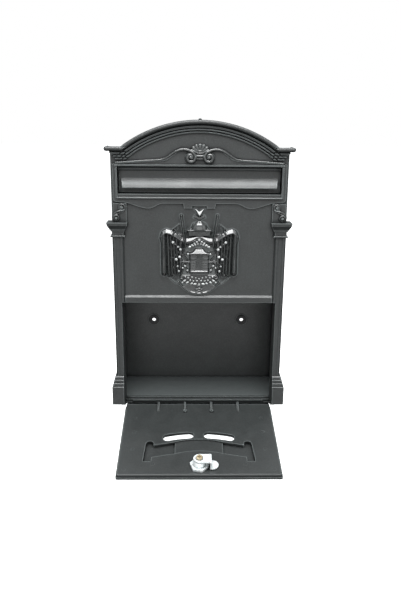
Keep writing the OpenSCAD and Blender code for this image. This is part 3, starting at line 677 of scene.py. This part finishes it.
def foot(r):
    """Bed of the garland, and a ribbon with chevrons below it."""
    r.raise_to(1.5, r.inside([(0, 198), (26, 198), (28, 193), (19, 186), (8, 182.6), (0, 182)]))
    r.ridge([(29.4, 188.6), (22, 179.8), (12, 173.2), (0, 170.8)], 1.5, 2.6)
    r.ridge([(40.6, 192.4), (33.4, 186.6), (27.0, 184.4)], 0.8, 1.3)
    ribbon = 1.1
    r.raise_to(ribbon, r.inside([(0, 184), (18, 184), (24, 182), (12, 173.4), (0, 171)]))
    for z, w in ((181.6, 4.2), (177.8, 5.0), (174.2, 4.4)):
        r.ridge([(0, z + 0.9), (w, z - 1.1)], 0.75, 1.7, ribbon, curve=False)
    r.ridge([(27.4, 195), (24.6, 197), (21.8, 195.4), (23.4, 192.8), (26, 193.6)], 0.9, 2.4, 1.0)


def crest_relief():
    """Everything of the crest but its beads."""
    r = Relief(58, 164, 296, 0.55)
    # backing of the ornament between the curtains
    r.raise_to(0.5, r.inside([(0, 252), (20, 247), (28, 222), (26, 198), (27, 190), (14, 178),
                              (0, 172)]))
    for part in (curtains, gathered_roll, staffs, cap, chevron, side_cords, tablet, foot):
        part(r)
    r.soften()
    bm = bmesh.new()
    r.build(bm)
    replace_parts(casting("crest_relief", GLOSS, bm), "crest_badge")


def crest_beads():
    """Beads under the roll, on the cords and in the garland, in a light paint that is a painted
    highlight.
    """
    # x, height above the base, radius and how far it stands out, then length and turn of a leaf
    beads = [(0, 249.0, 1.3, 4.0)]
    beads += [(3.4 * k, 248.2 - 1.75 * k - 0.12 * k * k, 1.2, 3.4) for k in range(1, 5)]
    beads += [(2.2 + 3.3 * k, 243.6 - 1.3 * k, 1.0, 3.0) for k in range(4)]
    beads += [(36.8, 245.9, 1.55, 4.4), (26.3, 235.8, 1.55, 4.4), (27.4, 225.3, 1.6, 4.6),
              (32.4, 221.8, 1.6, 4.8), (15.6, 229.3, 1.0, 3.6), (19.8, 212.2, 1.1, 3.4),
              (16.4, 206, 1.1, 3.4), (29.6, 239.4, 1.0, 3.4), (23.2, 209.4, 0.9, 3.2),
              (28.6, 204.6, 1.2, 3.6), (30.4, 211.6, 1.0, 3.2)]
    beads += [(x, z, 1.05, 3.4, long, turn) for x, z, turn, long in (
        (20.6, 190.8, -38, 1.9), (16.6, 188.2, -30, 1.8), (6.0, 185.7, -8, 2.0),
        (10.6, 186.6, -16, 1.6), (0, 184.9, 0, 1.2))]
    beads += [(x, z, 0.95, 2.9) for x, z in (
        (12.6, 191.2), (8.0, 190.2), (3.0, 190.4), (15.4, 195), (9.8, 195.6), (19.2, 196.4),
        (4.6, 194.6), (23.6, 188.0), (0, 193.4))]
    swell = 1.288
    bm = bmesh.new()
    for x, z, radius, height, *leaf in beads:
        long, turn = leaf or (1.0, 0.0)
        height += 1.2 if x > 15 else 0.4
        for s in (1, -1) if x else (1,):
            bead(bm, s * x, -height, z, radius * swell, 1.1, long, s * turn)
    casting("crest_beads", BEAD_HIGHLIGHT, bm)


pediment()
palmette()
consoles()
crest_relief()
crest_beads()


# ---------------------------------------------------------------- floor, light, camera


def floor():
    """Pale ground below the open door's lowest point."""
    drop = 160 * MM
    m = Nodes("pale_floor")
    m.link(m.ramp(m.noise(3, 3), [(0.3, (0.93, 0.93, 0.93)), (0.7, (0.96, 0.96, 0.96))]),
           m.shader.inputs["Base Color"])
    m.shader.inputs["Roughness"].default_value = 0.9
    m.shader.inputs["Emission Color"].default_value = (1, 1, 1, 1)
    m.shader.inputs["Emission Strength"].default_value = 0.75
    bm = bmesh.new()
    bmesh.ops.create_grid(bm, x_segments=8, y_segments=8, size=14)
    mesh = bpy.data.meshes.new("pale_floor")
    bm.to_mesh(mesh)
    bm.free()
    mesh.materials.append(m.material)
    o = bpy.data.objects.new("pale_floor", mesh)
    o.location = (0, 0, cad_lo[2] - drop)
    scene.collection.objects.link(o)
    o.visible_glossy = False
    o.visible_diffuse = False


def world():
    """Dim room with a bright ceiling, and plain white behind the object."""
    dim, bright = 0.13, 1.1
    w = bpy.data.worlds.new("studio")
    scene.world = w
    w.use_nodes = True
    t = w.node_tree
    t.nodes.clear()
    out = t.nodes.new("ShaderNodeOutputWorld")
    seen, lit = t.nodes.new("ShaderNodeBackground"), t.nodes.new("ShaderNodeBackground")
    seen.inputs[0].default_value = (1, 1, 1, 1)
    where, split = t.nodes.new("ShaderNodeTexCoord"), t.nodes.new("ShaderNodeSeparateXYZ")
    height, ramp = t.nodes.new("ShaderNodeMapRange"), t.nodes.new("ShaderNodeValToRGB")
    height.inputs["From Min"].default_value = -1.0
    for stop, level, place in zip(ramp.color_ramp.elements, (dim, bright), (0.5, 0.95)):
        stop.color = (0.96 * level, 0.99 * level, level, 1)
        stop.position = place
    path, mix = t.nodes.new("ShaderNodeLightPath"), t.nodes.new("ShaderNodeMixShader")
    for a, b in ((where.outputs["Generated"], split.inputs[0]),
                 (split.outputs["Z"], height.inputs["Value"]), (height.outputs[0], ramp.inputs[0]),
                 (ramp.outputs[0], lit.inputs[0]), (path.outputs["Is Camera Ray"], mix.inputs[0]),
                 (lit.outputs[0], mix.inputs[1]), (seen.outputs[0], mix.inputs[2]),
                 (mix.outputs[0], out.inputs[0])):
        t.links.new(a, b)


def lights():
    """Softboxes: name, place, size, power in watts and the point each looks at."""
    for name, place, size, power, aim in (
        ("top_softbox", (0.0, -0.62, 1.3), (1.2, 0.8), 44, (0, -0.05, 0.0)),
        ("front_fill", (0.0, -2.0, 0.35), (1.8, 1.2), 13, (0, -0.1, -0.05)),
        ("low_fill", (0.0, -1.15, -0.62), (1.8, 0.7), 5, (0, -0.1, -0.18)),
        ("left_softbox", (-1.25, -1.1, 0.5), (0.8, 1.2), 2.5, (0, -0.05, 0.0)),
        ("right_softbox", (1.25, -1.1, 0.5), (0.8, 1.2), 4, (0, -0.05, 0.0)),
    ):
        light = bpy.data.lights.new(name, "AREA")
        light.shape = "RECTANGLE"
        light.size, light.size_y = size
        light.energy = power
        o = bpy.data.objects.new(name, light)
        o.location = place
        o.rotation_euler = (Vector(aim) - Vector(place)).to_track_quat("-Z", "Y").to_euler()
        scene.collection.objects.link(o)


def camera():
    """Camera in front of the letterbox, a little above it and looking down."""
    place = (-0.01412, -0.93674, 0.20543)
    pitch, yaw, roll = (math.radians(a) for a in (16.498, 1.12, 0.494))
    ahead = Vector((math.sin(yaw) * math.cos(pitch), math.cos(yaw) * math.cos(pitch),
                    -math.sin(pitch)))
    level = Vector((math.cos(yaw), -math.sin(yaw), 0))
    upright = level.cross(ahead)
    right = math.cos(roll) * level + math.sin(roll) * upright
    up = math.cos(roll) * upright - math.sin(roll) * level
    data = bpy.data.cameras.new("camera")
    data.sensor_fit = "AUTO"
    data.sensor_width = 36
    data.lens = 36.644
    data.clip_start, data.clip_end = 0.01, 100
    o = bpy.data.objects.new("camera", data)
    o.matrix_world = Matrix.Translation(place) @ Matrix((right, up, -ahead)).transposed().to_4x4()
    scene.collection.objects.link(o)
    scene.camera = o


floor()
world()
lights()
camera()
scene.view_settings.view_transform = "Standard"
scene.view_settings.look = "None"
